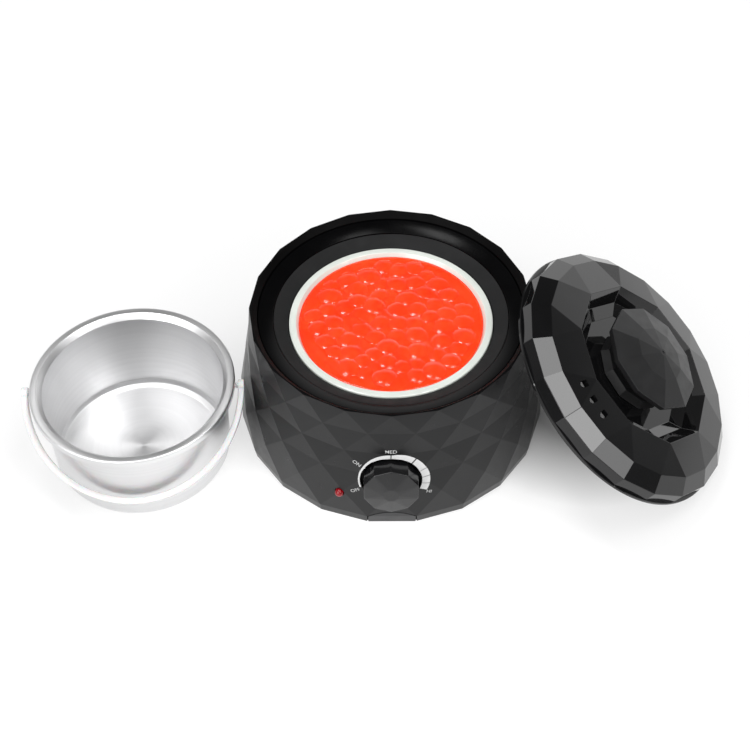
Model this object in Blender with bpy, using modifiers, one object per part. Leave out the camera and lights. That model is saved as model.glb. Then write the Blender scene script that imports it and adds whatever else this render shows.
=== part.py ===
"""Wax warmer pot, resting as it is set out for use: the faceted heater base with its filled pot,
the spare pot with its bail standing on the left, and the lid leaning on the base's right rim.

Units are metres, +Z is up, and the origin is on the table under the middle of the base.
"""

import math

import bmesh
import bpy
from mathutils import Matrix, Vector

# ---------------------------------------------------------------- driving dimensions
GAP = 0.0003  # kept between pieces that touch
ROUND = 48  # sides of a large turned piece
SMALL_ROUND = 20  # sides of a small turned piece

# Housing: rings of a twenty-sided triangular lattice, as (vertex radius, height), top to bottom.
SIDES = 20
STEP = 2 * math.pi / SIDES
RIM_Z = 0.0873
LATTICE = (
    (0.0800, RIM_Z),
    (0.0818, 0.0735),
    (0.0838, 0.0586),
    (0.0865, 0.0440),
    (0.0888, 0.0284),
    (0.0895, 0.0093),
    (0.0884, 0.0030),
)
RECESS_R = 0.0756  # round inner edge of the rim
RECESS_Z = 0.0842
LEDGE_R = 0.0732  # ledge that carries the recess ring
LEDGE_Z = 0.0812

# Seated pot and the spare one: the same pot.
POT_R = 0.0579  # outside of the rim
POT_H = 0.0587
POT_RIM_H = 0.0045
POT_WALL = 0.0014
POT_TOP_IN_R = 0.0513
POT_RIM_IN_R = 0.0539
POT_CHAMFER = 0.0032  # height of the slope inside the rim
POT_FLOOR_IN_R = 0.0495
SEAT_Z = 0.0184  # underside of the seated pot
WAX_Z = 0.0757
SPARE_AT = Vector((-0.1464, -0.0301, 0.0))

# Bail of the spare pot.
BAIL_R = 0.0612
BAIL_AT = SPARE_AT + Vector((0.0, 0.0, 0.0524))  # middle of the pivots' axis
BAIL_TURN = math.radians(2.4)  # of that axis about the upright
BAIL_REACH = 1.04  # length of the hoop over half its span
BAIL_HANG = math.radians(30.0)  # below level, towards the front
BAIL_THICK = 0.0036
BAIL_WIDE = 0.0046

# Thermostat dial: its axis leans back from level.
DIAL_AT = Vector((-0.0004, -0.0860, 0.0390))
DIAL_LEAN = math.radians(7.0)
POCKET_R = 0.0170
POCKET_FLOOR = -0.0032
KNOB_R = 0.0157
KNOB_SIDES = 10
KNOB_BACK = -0.0020
KNOB_EDGE = 0.0095
KNOB_FACE = 0.0115

# Indicator lamp.
LAMP_ANGLE = math.radians(-19.2)
LAMP_Z = 0.0262

# Base underside.
COVER_Z = 0.0020
COVER_TOP = 0.0045
COVER_R = 0.0845
BOSS_RING_R = 0.0810
FOOT_RING_R = 0.0660
ARCH_HALF = 0.0140
ARCH_R = 0.0254
ARCH_TOP_Z = 0.0135

# Lid: its own frame has +Z out of its top, +X level and +Y uphill.
LID_TILT = math.radians(39.1)
LID_HEADING = math.radians(-9.5)
LID_PHASE = math.radians(1.0)
LID_LIP_R = 0.0780
LID_BOTTOM = -0.0153
LID_RIB_R = 0.0710
LID_RIB_DEPTH = 0.0048
LID_AT_X = 0.1401
LID_AT_Y = -0.0227
KNOB_SEAT = -0.0070  # floor of the lid's well


# ---------------------------------------------------------------- scene and materials
def clear_scene():
    for obj in list(bpy.data.objects):
        bpy.data.objects.remove(obj, do_unlink=True)
    for mesh in list(bpy.data.meshes):
        bpy.data.meshes.remove(mesh)


def new_collection(name):
    found = bpy.data.collections.new(name)
    bpy.context.scene.collection.children.link(found)
    return found


clear_scene()
PARTS = new_collection("wax_warmer_pot")
CUTTERS = new_collection("cutters")


def material(name, colour, roughness, metallic=0.0):
    made = bpy.data.materials.new(name)
    made.use_nodes = True
    shader = made.node_tree.nodes["Principled BSDF"]
    shader.inputs["Base Color"].default_value = (*colour, 1.0)
    shader.inputs["Roughness"].default_value = roughness
    shader.inputs["Metallic"].default_value = metallic
    return made


BLACK_SATIN = material("housing_black", (0.012, 0.012, 0.013), 0.38)
BLACK_GLOSS = material("lid_black", (0.008, 0.008, 0.009), 0.06)
BLACK_MATTE = material("deck_black", (0.022, 0.022, 0.023), 0.55)
ALUMINIUM = material("aluminium", (0.80, 0.81, 0.82), 0.28, 1.0)
ENAMEL = material("pot_white", (0.84, 0.87, 0.84), 0.30)
WAX = material("wax", (0.95, 0.07, 0.02), 0.12)
CLEAR_WHITE = material("bail_plastic", (0.90, 0.90, 0.90), 0.25)
STEEL = material("steel", (0.55, 0.55, 0.56), 0.30, 1.0)
MICA = material("mica", (0.45, 0.38, 0.28), 0.60)
NYLON = material("nylon", (0.75, 0.74, 0.70), 0.45)
RUBBER = material("rubber", (0.03, 0.03, 0.03), 0.80)
SILICONE = material("silicone", (0.55, 0.10, 0.07), 0.60)
LENS_RED = material("lens_red", (0.60, 0.01, 0.01), 0.08)
BRASS = material("brass", (0.75, 0.58, 0.28), 0.30, 1.0)
WIRE_SLEEVE = material("wire_sleeve", (0.70, 0.68, 0.60), 0.50)


# ---------------------------------------------------------------- shape helpers
def add_object(name, data, finish=None, frame=None, collection=None):
    """An object on its frame's empty, in the parts unless another collection is given."""
    obj = bpy.data.objects.new(name, data)
    (collection or PARTS).objects.link(obj)
    if finish is not None:
        data.materials.append(finish)
    if frame is not None:
        obj.parent = frame
    if collection is CUTTERS:
        obj.hide_render = True
        obj.display_type = "WIRE"
    return obj


def empty(name, matrix):
    made = bpy.data.objects.new(name, None)
    PARTS.objects.link(made)
    made.matrix_world = matrix
    return made


def area_of(points):
    turned = zip(points, points[1:] + points[:1])
    return sum(a[0] * b[1] - b[0] * a[1] for a, b in turned)


def turned(name, profile, finish=None, frame=None, steps=ROUND, collection=None):
    """A closed (radius, height) outline turned about the frame's Z axis."""
    points = list(profile)
    if area_of(points) > 0:
        points.reverse()
    on_axis = any(radius == 0.0 for radius, _ in points)
    if on_axis:
        # The stretch along the axis is left open: the outline starts and ends on it.
        count = len(points)
        start = next(
            i for i in range(count) if points[i][0] == 0.0 and points[i - 1][0] == 0.0
        )
        points = points[start:] + points[:start]
    mesh = bpy.data.meshes.new(name)
    edges = [(i, i + 1) for i in range(len(points) - 1)]
    if not on_axis:
        edges.append((len(points) - 1, 0))
    # Each helper starts at its own angle, so that no two of them share an edge's line.
    phase = 0.037 * (1 + len(CUTTERS.objects)) if collection is CUTTERS else 0.0
    across = math.cos(phase)
    along = math.sin(phase)
    mesh.from_pydata([(r * across, r * along, z) for r, z in points], edges, [])
    obj = add_object(name, mesh, finish, frame, collection)
    screw = obj.modifiers.new("Turn", "SCREW")
    screw.steps = steps
    screw.render_steps = steps
    screw.use_merge_vertices = True
    screw.merge_threshold = 0.00001
    screw.use_normal_calculate = False
    return obj


def ring_points(radius, height, count, phase):
    turn = 2 * math.pi / count
    return [
        Vector((radius * math.sin(phase + i * turn), -radius * math.cos(phase + i * turn), height))
        for i in range(count)
    ]


def bridge(mesh, upper, lower):
    """Triangles between two rings of vertices, each a list of (angle, vertex) going round."""
    i = 0
    j = 0
    while i < len(upper) or j < len(lower):
        next_up = upper[(i + 1) % len(upper)][0] + 2 * math.pi * ((i + 1) // len(upper))
        next_low = lower[(j + 1) % len(lower)][0] + 2 * math.pi * ((j + 1) // len(lower))
        a = upper[i % len(upper)][1]
        b = lower[j % len(lower)][1]
        if j >= len(lower) or (i < len(upper) and next_up < next_low - 1e-6):
            mesh.faces.new((a, b, upper[(i + 1) % len(upper)][1]))
            i += 1
        elif i >= len(upper) or next_low < next_up - 1e-6:
            mesh.faces.new((a, b, lower[(j + 1) % len(lower)][1]))
            j += 1
        else:
            mesh.faces.new((a, b, lower[(j + 1) % len(lower)][1], upper[(i + 1) % len(upper)][1]))
            i += 1
            j += 1


def faceted(name, rings, finish=None, frame=None, collection=None):
    """A closed solid through rings of (radius, height, sides, phase), top to bottom."""
    mesh = bmesh.new()
    levels = []
    for radius, height, count, phase in rings:
        turn = 2 * math.pi / count
        points = ring_points(radius, height, count, phase)
        levels.append([(phase + k * turn, mesh.verts.new(p)) for k, p in enumerate(points)])
    for upper, lower in zip(levels, levels[1:]):
        bridge(mesh, upper, lower)
    mesh.faces.new([vertex for _, vertex in levels[0]])
    mesh.faces.new([vertex for _, vertex in reversed(levels[-1])])
    bmesh.ops.recalc_face_normals(mesh, faces=mesh.faces)
    data = bpy.data.meshes.new(name)
    mesh.to_mesh(data)
    mesh.free()
    return add_object(name, data, finish, frame, collection)


def prism(name, outline, low, high, finish=None, frame=None, collection=None, axis="Z"):
    """An outline in the frame's XY plane drawn from low to high, or in XZ and drawn along Y."""
    mesh = bmesh.new()
    if axis == "Z":
        base = [mesh.verts.new((x, y, low)) for x, y in outline]
        travel = Vector((0.0, 0.0, high - low))
    else:
        base = [mesh.verts.new((x, low, y)) for x, y in outline]
        travel = Vector((0.0, high - low, 0.0))
    face = mesh.faces.new(base)
    grown = bmesh.ops.extrude_face_region(mesh, geom=[face])
    moved = [item for item in grown["geom"] if isinstance(item, bmesh.types.BMVert)]
    bmesh.ops.translate(mesh, verts=moved, vec=travel)
    bmesh.ops.recalc_face_normals(mesh, faces=mesh.faces)
    data = bpy.data.meshes.new(name)
    mesh.to_mesh(data)
    mesh.free()
    return add_object(name, data, finish, frame, collection)


def box(name, low, high, finish=None, frame=None, collection=None):
    mesh = bmesh.new()
    bmesh.ops.create_cube(mesh, size=1.0)
    low = Vector(low)
    high = Vector(high)
    size = high - low
    bmesh.ops.scale(mesh, verts=mesh.verts, vec=size)
    bmesh.ops.translate(mesh, verts=mesh.verts, vec=(low + high) / 2)
    data = bpy.data.meshes.new(name)
    mesh.to_mesh(data)
    mesh.free()
    return add_object(name, data, finish, frame, collection)


def rod(name, radius, low, high, finish=None, frame=None, steps=SMALL_ROUND, collection=None):
    outline = [(0.0, low), (0.0, high), (radius, high), (radius, low)]
    return turned(name, outline, finish, frame, steps, collection)


def tube(name, inner, outer, low, high, finish=None, frame=None, steps=SMALL_ROUND, collection=None):
    outline = [(inner, low), (inner, high), (outer, high), (outer, low)]
    return turned(name, outline, finish, frame, steps, collection)


def boolean(obj, other, operation="DIFFERENCE"):
    made = obj.modifiers.new(operation.title(), "BOOLEAN")
    made.operation = operation
    made.solver = "EXACT"
    made.object = other


def cut(obj, *cutters):
    for cutter in cutters:
        boolean(obj, cutter)


def join(obj, *pieces):
    for piece in pieces:
        boolean(obj, piece, "UNION")


def smooth(obj, angle=35.0):
    """Rounds the shading of a turned piece and keeps its edges crisp."""
    graph = bpy.context.evaluated_depsgraph_get()
    data = bpy.data.meshes.new_from_object(obj.evaluated_get(graph))
    obj.modifiers.clear()
    obj.data = data
    data.shade_smooth()
    data.set_sharp_from_angle(angle=math.radians(angle))


def polar(radius, angle, height=0.0):
    """A point at an angle round the base: zero is the front, and positive is to the right."""
    return Vector((radius * math.sin(angle), -radius * math.cos(angle), height))


def wire(name, points, radius):
    """An internal lead: a smooth run through a few points."""
    curve = bpy.data.curves.new(name, "CURVE")
    curve.dimensions = "3D"
    curve.bevel_depth = radius
    curve.bevel_resolution = 1
    curve.use_fill_caps = True
    spline = curve.splines.new("POLY")
    route = catmull(points, 4)
    spline.points.add(len(route) - 1)
    for target, point in zip(spline.points, route):
        target.co = (*point, 1.0)
    return add_object(name, curve, WIRE_SLEEVE)


def catmull(points, pieces):
    """Points along a smooth curve through the given ones."""
    ends = [2 * points[0] - points[1], *points, 2 * points[-1] - points[-2]]
    route = []
    for a, b, c, d in zip(ends, ends[1:], ends[2:], ends[3:]):
        for k in range(pieces):
            t = k / pieces
            value = 2 * b + (c - a) * t + (2 * a - 5 * b + 4 * c - d) * t**2
            value += (3 * b - a - 3 * c + d) * t**3
            route.append(value / 2)
    route.append(points[-1])
    return route


# ---------------------------------------------------------------- frames
DIAL = empty(
    "dial_frame",
    Matrix.Translation(DIAL_AT) @ Matrix.Rotation(math.pi / 2 - DIAL_LEAN, 4, "X"),
)


def radial_frame(name, angle, height, lean=0.0):
    """Z points outward from the base's axis at an angle round it."""
    spin = Matrix.Rotation(angle, 4, "Z") @ Matrix.Rotation(math.pi / 2 - lean, 4, "X")
    return empty(name, Matrix.Translation((0.0, 0.0, height)) @ spin)


LAMP = radial_frame("lamp_frame", LAMP_ANGLE, LAMP_Z)
REAR = radial_frame("rear_frame", math.pi, 0.0180)
SPARE = empty("spare_pot_frame", Matrix.Translation(SPARE_AT))

out = Vector(
    (
        math.sin(LID_TILT) * math.cos(LID_HEADING),
        math.sin(LID_TILT) * math.sin(LID_HEADING),
        math.cos(LID_TILT),
    )
)
level = Vector((0.0, 0.0, 1.0)).cross(out).normalized()
uphill = out.cross(level)
LID_AT_Z = LID_LIP_R * math.sin(LID_TILT) - LID_BOTTOM * math.cos(LID_TILT)
LID_AT = Vector((LID_AT_X, LID_AT_Y, LID_AT_Z))
LID = empty(
    "lid_frame",
    Matrix.Translation(LID_AT) @ Matrix((level, uphill, out)).transposed().to_4x4(),
)


# ---------------------------------------------------------------- housing
def lattice_rings():
    return [
        (radius, height, SIDES, STEP / 2 if row % 2 else 0.0)
        for row, (radius, height) in enumerate(LATTICE[:-1])
    ] + [(*LATTICE[-1], SIDES, STEP / 2)]


def arch_outline(inset):
    """The arch at the foot of the front: a low arc over two upright sides."""
    half = ARCH_HALF - inset
    radius = ARCH_R - inset
    middle = ARCH_TOP_Z - ARCH_R
    reach = math.asin(half / radius)
    count = 10
    points = []
    for k in range(count + 1):
        angle = -reach + 2 * reach * k / count
        points.append((radius * math.sin(angle), middle + radius * math.cos(angle)))
    return [(-half, COVER_Z), *points, (half, COVER_Z)]


def make_housing():
    shell = faceted("housing_shell", lattice_rings(), BLACK_SATIN)
    slope = (0.0783 - RECESS_R) / (RIM_Z - RECESS_Z)
    above = RIM_Z + 0.0030
    cavity = [
        (0.0, above),
        (RECESS_R + slope * (above - RECESS_Z), above),
        (RECESS_R, RECESS_Z),
        (RECESS_R, LEDGE_Z),
        (LEDGE_R, LEDGE_Z),
        (LEDGE_R, LEDGE_Z - 0.0025),
        (0.0772, 0.0740),
        (0.0806, 0.0600),
        (0.0846, 0.0300),
        (0.0850, -0.0010),
        (0.0, -0.0010),
    ]
    cut(shell, turned("cavity_cutter", cavity, collection=CUTTERS))
    boss = rod("dial_boss", 0.0196, -0.0062, -0.0031, None, DIAL, 32, CUTTERS)
    join(shell, boss)
    for k in range(4):
        angle = math.pi / 4 + k * math.pi / 2
        frame = empty(f"boss_frame_{k + 1}", Matrix.Translation(polar(BOSS_RING_R, angle)))
        join(shell, rod(f"boss_{k + 1}", 0.0042, 0.0050, 0.0220, None, frame, 16, CUTTERS))
        cut(shell, rod(f"boss_hole_{k + 1}", 0.0017, 0.0040, 0.0170, None, frame, 12, CUTTERS))
    cut(shell, rod("pocket_cutter", POCKET_R, POCKET_FLOOR, 0.0200, None, DIAL, 40, CUTTERS))
    cut(shell, rod("bushing_cutter", 0.0043, -0.0080, 0.0, None, DIAL, SMALL_ROUND, CUTTERS))
    cut(shell, rod("lamp_cutter", 0.0029, 0.0780, 0.0980, None, LAMP, SMALL_ROUND, CUTTERS))
    cut(shell, rod("gland_cutter", 0.0052, 0.0780, 0.0980, None, REAR, SMALL_ROUND, CUTTERS))
    arch = [(x, -0.001 if z == COVER_Z else z) for x, z in arch_outline(0.0)]
    cut(shell, prism("arch_cutter", arch, -0.1000, -0.0800, None, None, CUTTERS, axis="Y"))
    return shell


def make_cover():
    """Bottom cover with the arched tab that closes the notch under the dial."""
    groove = COVER_Z + 0.0004
    disc = [
        (0.0, COVER_Z), (0.0, COVER_TOP), (COVER_R, COVER_TOP), (COVER_R, COVER_Z), (0.0212, COVER_Z),
        (0.0208, groove), (0.0202, groove), (0.0198, COVER_Z),
    ]
    cover = turned("bottom_cover", disc, BLACK_MATTE)
    tab = prism("tab_blank", arch_outline(0.00035), -0.0920, -0.0835, None, None, CUTTERS, axis="Y")
    skin = faceted("tab_skin", lattice_rings(), None, None, CUTTERS)
    boolean(tab, skin, "INTERSECT")
    join(cover, tab)
    for k in range(3):
        angle = math.pi / 3 + k * 2 * math.pi / 3
        frame = empty(f"post_frame_{k + 1}", Matrix.Translation(polar(0.0500, angle)))
        join(cover, rod(f"shield_post_{k + 1}", 0.0035, 0.0030, 0.0122, None, frame, 12, CUTTERS))
    for k in range(4):
        angle = math.pi / 4 + k * math.pi / 2
        frame = bpy.data.objects[f"boss_frame_{k + 1}"]
        cut(cover, rod(f"cover_hole_{k + 1}", 0.0018, 0.0, 0.0100, None, frame, 12, CUTTERS))
    for k in range(5):
        x = (k - 2) * 0.0100
        low = (x - 0.0015, 0.0250, 0.0)
        high = (x + 0.0015, 0.0420, 0.0100)
        cut(cover, box(f"vent_cutter_{k + 1}", low, high, None, None, CUTTERS))
    return cover


def make_base_fittings():
    for k in range(4):
        frame = bpy.data.objects[f"boss_frame_{k + 1}"]
        head = COVER_Z - GAP
        screw = [
            (0.0, 0.0006), (0.0, 0.0150), (0.0014, 0.0150), (0.0014, head), (0.0030, head), (0.0026, 0.0006),
        ]
        smooth(turned(f"cover_screw_{k + 1}", screw, STEEL, frame, 12))
        angle = math.pi / 4 + k * math.pi / 2 + 0.30
        stand = empty(f"foot_frame_{k + 1}", Matrix.Translation(polar(FOOT_RING_R, angle)))
        top = COVER_Z - GAP
        foot = [(0.0, 0.0), (0.0, top), (0.0065, top), (0.0065, 0.0006), (0.0058, 0.0)]
        smooth(turned(f"foot_{k + 1}", foot, RUBBER, stand, 20))
    gland = [
        (0.0030, 0.0795), (0.0030, 0.0920), (0.0062, 0.0920), (0.0070, 0.0905),
        (0.0070, 0.0890), (0.0049, 0.0890), (0.0049, 0.0795),
    ]
    smooth(turned("cord_gland", gland, RUBBER, REAR))


# ---------------------------------------------------------------- heating chamber
def well_outer(height):
    """Outside radius of the heating well at a height."""
    return 0.0536 + (0.0571 - 0.0536) * (height - 0.0210) / (0.0660 - 0.0210)


def make_chamber():
    recess = [
        (RECESS_R - 0.0004, 0.0839), (RECESS_R - 0.0004, LEDGE_Z + GAP), (0.0726, LEDGE_Z + GAP),
        (0.0690, 0.0790), (0.0690, 0.0666), (0.0625, 0.0666), (0.0625, 0.0740),
        (0.0668, 0.0740), (0.0668, 0.0807),
    ]
    ring = turned("recess_ring", recess, BLACK_GLOSS)
    deck = [
        (0.0665, 0.0806), (0.0665, 0.0743), (0.0622, 0.0743), (0.0622, 0.0700),
        (0.0559, 0.0700), (0.0559, 0.0723), (0.0584, 0.0723), (0.0584, 0.0765),
    ]
    smooth(turned("deck_ring", deck, BLACK_MATTE))
    smooth(tube("well_gasket", 0.0562, 0.0620, 0.0684, 0.0697, SILICONE, steps=ROUND))
    well = [
        (0.0, 0.0181), (0.0, 0.0169), (0.0490, 0.0169), (0.0526, 0.0185), (0.0536, 0.0210),
        (0.0571, 0.0666), (0.0620, 0.0666), (0.0620, 0.0681), (0.0559, 0.0681),
        (0.0524, 0.0215), (0.0516, 0.0194), (0.0485, 0.0181),
    ]
    smooth(turned("heating_well", well, ALUMINIUM))
    clamp = tube("well_clamp_ring", 0.0576, 0.0680, 0.0648, 0.0663, STEEL, steps=ROUND)
    for k in range(3):
        angle = math.pi / 2 + k * 2 * math.pi / 3
        frame = empty(f"clamp_frame_{k + 1}", Matrix.Translation(polar(0.0657, angle)))
        hole = rod(f"clamp_hole_{k + 1}", 0.0016, 0.0600, 0.0722, None, frame, 12, CUTTERS)
        cut(ring, hole)
        cut(clamp, hole)
        shank = [
            (0.0, 0.0630), (0.0, 0.0715), (0.0013, 0.0715), (0.0013, 0.0645), (0.0026, 0.0645),
            (0.0026, 0.0630),
        ]
        smooth(turned(f"clamp_screw_{k + 1}", shank, STEEL, frame, 12))
    smooth(ring)
    smooth(clamp)

    low = 0.0280
    high = 0.0520
    thick = 0.0020
    band = [
        (well_outer(low) + GAP, low), (well_outer(high) + GAP, high),
        (well_outer(high) + thick, high), (well_outer(low) + thick, low),
    ]
    heater = turned("heater_band", band, MICA)
    cut(heater, box("band_gap_cutter", (-0.004, 0.040, 0.02), (0.004, 0.070, 0.06), None, None, CUTTERS))
    smooth(heater)
    for side, x in (("left", -0.0105), ("right", 0.0105)):
        box(f"heater_terminal_{side}", (x - 0.003, 0.0577, 0.0398), (x + 0.003, 0.0622, 0.0406), BRASS)
    shield = [
        (0.0200, 0.0125), (0.0200, 0.0131), (0.0630, 0.0131), (0.0630, 0.0620), (0.0636, 0.0620),
        (0.0636, 0.0125),
    ]
    can = turned("heat_shield", shield, STEEL)
    cut(can, box("shield_notch", (-0.0160, 0.0500, 0.0340), (0.0160, 0.0700, 0.0700), None, None, CUTTERS))
    smooth(can)
    fuse_at = empty("fuse_frame", Matrix.Translation(polar(0.0609, math.radians(120))))
    smooth(rod("thermal_fuse", 0.0016, 0.0320, 0.0430, NYLON, fuse_at, 16))


# ---------------------------------------------------------------- thermostat, knob and lamp
def make_dial():
    hexagon = [(0.0062 * math.cos(k * math.pi / 3), 0.0062 * math.sin(k * math.pi / 3)) for k in range(6)]
    block = [(-0.0120, -0.0105), (0.0120, -0.0105), (0.0120, 0.0105), (-0.0120, 0.0105)]
    body = prism("thermostat_body", block, -0.0195, -0.0065, NYLON, DIAL)
    join(body, rod("bushing_blank", 0.0039, -0.0075, 0.0008, None, DIAL, SMALL_ROUND, CUTTERS))
    nut = prism("thermostat_nut", hexagon, -0.0029, -0.0006, BRASS, DIAL)
    cut(nut, rod("nut_bore", 0.0042, -0.0100, 0.0100, None, DIAL, SMALL_ROUND, CUTTERS))
    smooth(rod("thermostat_shaft", 0.0029, 0.0011, 0.0085, STEEL, DIAL, SMALL_ROUND))

    rings = [
        (0.0043, KNOB_FACE, KNOB_SIDES, math.pi / KNOB_SIDES),
        (KNOB_R, KNOB_EDGE, KNOB_SIDES, 0.0),
        (KNOB_R, KNOB_BACK, KNOB_SIDES, 0.0),
    ]
    knob = faceted("control_knob", rings, BLACK_SATIN, DIAL)
    hollow = [
        (0.0, -0.0040), (0.0090, -0.0040), (0.0090, 0.0012), (0.0032, 0.0012), (0.0032, 0.0088),
        (0.0, 0.0088),
    ]
    cut(knob, turned("knob_hollow", hollow, None, DIAL, SMALL_ROUND, CUTTERS))

    dome = [(0.0, 0.0800), (0.0, 0.0905)]
    for k in range(5):
        angle = math.radians(90 - 22.5 * k)
        dome.append((0.0025 * math.cos(angle), 0.0881 + 0.0024 * math.sin(angle)))
    dome[2] = (0.0003, 0.0905)
    dome += [(0.0025, 0.0832), (0.0038, 0.0832), (0.0038, 0.0820), (0.0025, 0.0820), (0.0025, 0.0800)]
    smooth(turned("indicator_lens", dome, LENS_RED, LAMP, SMALL_ROUND))
    smooth(rod("indicator_lamp", 0.0021, 0.0680, 0.0797, NYLON, LAMP, 16))


# ---------------------------------------------------------------- pots
def pot_profile():
    """Half section of a pot standing on zero, as (radius, height)."""
    chamfer_z = POT_H - POT_CHAMFER
    rim_under = POT_H - POT_RIM_H
    return [
        (0.0, 0.0), (0.0, 0.0015), (0.0450, 0.0015), (0.0480, 0.0024), (POT_FLOOR_IN_R, 0.0050),
        (POT_TOP_IN_R, chamfer_z), (POT_RIM_IN_R, POT_H), (POT_R - 0.0006, POT_H), (POT_R, POT_H - 0.0006),
        (POT_R, rim_under), (POT_TOP_IN_R + POT_WALL, rim_under),
        (POT_FLOOR_IN_R + POT_WALL + 0.0002, 0.0050), (0.0496, 0.0016), (0.0466, 0.0),
    ]


def make_seated_pot():
    stand = empty("seated_pot_frame", Matrix.Translation((0.0, 0.0, SEAT_Z)))
    smooth(turned("wax_pot", pot_profile(), ENAMEL, stand))
    top = WAX_Z - SEAT_Z
    chamfer_z = POT_H - POT_CHAMFER
    slope = (POT_RIM_IN_R - POT_TOP_IN_R) / POT_CHAMFER
    wax = [
        (0.0, 0.0018), (0.0, top), (POT_TOP_IN_R + (top - chamfer_z) * slope - 0.0004, top),
        (POT_TOP_IN_R - 0.0004, chamfer_z), (POT_FLOOR_IN_R - 0.0004, 0.0054), (0.0474, 0.0029),
        (0.0448, 0.0018),
    ]
    smooth(turned("wax_fill", wax, WAX, stand))


def bail_axis():
    return Matrix.Translation(BAIL_AT) @ Matrix.Rotation(BAIL_TURN, 4, "Z")


def make_spare_pot():
    smooth(turned("spare_pot", pot_profile(), ALUMINIUM, SPARE))
    wall = POT_TOP_IN_R + POT_WALL + GAP
    shoulder = BAIL_R - BAIL_THICK / 2 - 0.0006
    pin = [
        (0.0, wall), (0.0, 0.0616), (0.0012, 0.0616), (0.0014, 0.0612), (0.0014, shoulder),
        (0.0016, shoulder), (0.0016, wall),
    ]
    for name, turn in (("bail_pin_right", math.pi / 2), ("bail_pin_left", -math.pi / 2)):
        pivot = empty(
            name + "_frame", bail_axis() @ Matrix.Rotation(turn, 4, "Y")
        )
        smooth(turned(name, pin, STEEL, pivot, 14))


def make_bail():
    """A half hoop of rounded strip between two eyes, hanging from the pivots."""
    hang = Matrix.Rotation(math.pi + BAIL_HANG, 4, "X")
    frame = empty("bail_frame", bail_axis() @ hang)
    mesh = bmesh.new()
    half_t = BAIL_THICK / 2
    half_w = BAIL_WIDE / 2
    soft = 0.0010
    section = [
        (half_t, -half_w + soft), (half_t, half_w - soft), (half_t - soft, half_w),
        (-half_t + soft, half_w), (-half_t, half_w - soft), (-half_t, -half_w + soft),
        (-half_t + soft, -half_w), (half_t - soft, -half_w),
    ]
    count = 36
    levels = []
    for k in range(count + 1):
        angle = math.pi * k / count
        ray = Vector((math.cos(angle), math.sin(angle) * BAIL_REACH, 0.0))
        levels.append([mesh.verts.new(ray * (BAIL_R + a) + Vector((0.0, 0.0, b))) for a, b in section])
    for near, far in zip(levels, levels[1:]):
        for k in range(len(section)):
            m = (k + 1) % len(section)
            mesh.faces.new((near[k], near[m], far[m], far[k]))
    mesh.faces.new(levels[0])
    mesh.faces.new(list(reversed(levels[-1])))
    bmesh.ops.recalc_face_normals(mesh, faces=mesh.faces)
    data = bpy.data.meshes.new("bail_handle")
    mesh.to_mesh(data)
    mesh.free()
    bail = add_object("bail_handle", data, CLEAR_WHITE, frame)
    for side, turn in (("right", math.pi / 2), ("left", -math.pi / 2)):
        eye_frame = empty(f"bail_eye_frame_{side}", frame.matrix_world @ Matrix.Rotation(turn, 4, "Y"))
        inside = BAIL_R - half_t
        outside = BAIL_R + half_t
        join(bail, rod(f"bail_eye_{side}", 0.0033, inside, outside, None, eye_frame, SMALL_ROUND, CUTTERS))
        cut(bail, rod(f"bail_bore_{side}", 0.0017, inside - 0.0022, 0.0619, None, eye_frame, 14, CUTTERS))
    return bail


# ---------------------------------------------------------------- lid
def lid_phase(degrees):
    """Turns an angle from the lid's level axis into this file's ring angle."""
    return math.radians(degrees) + LID_PHASE + math.pi / 2


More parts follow.
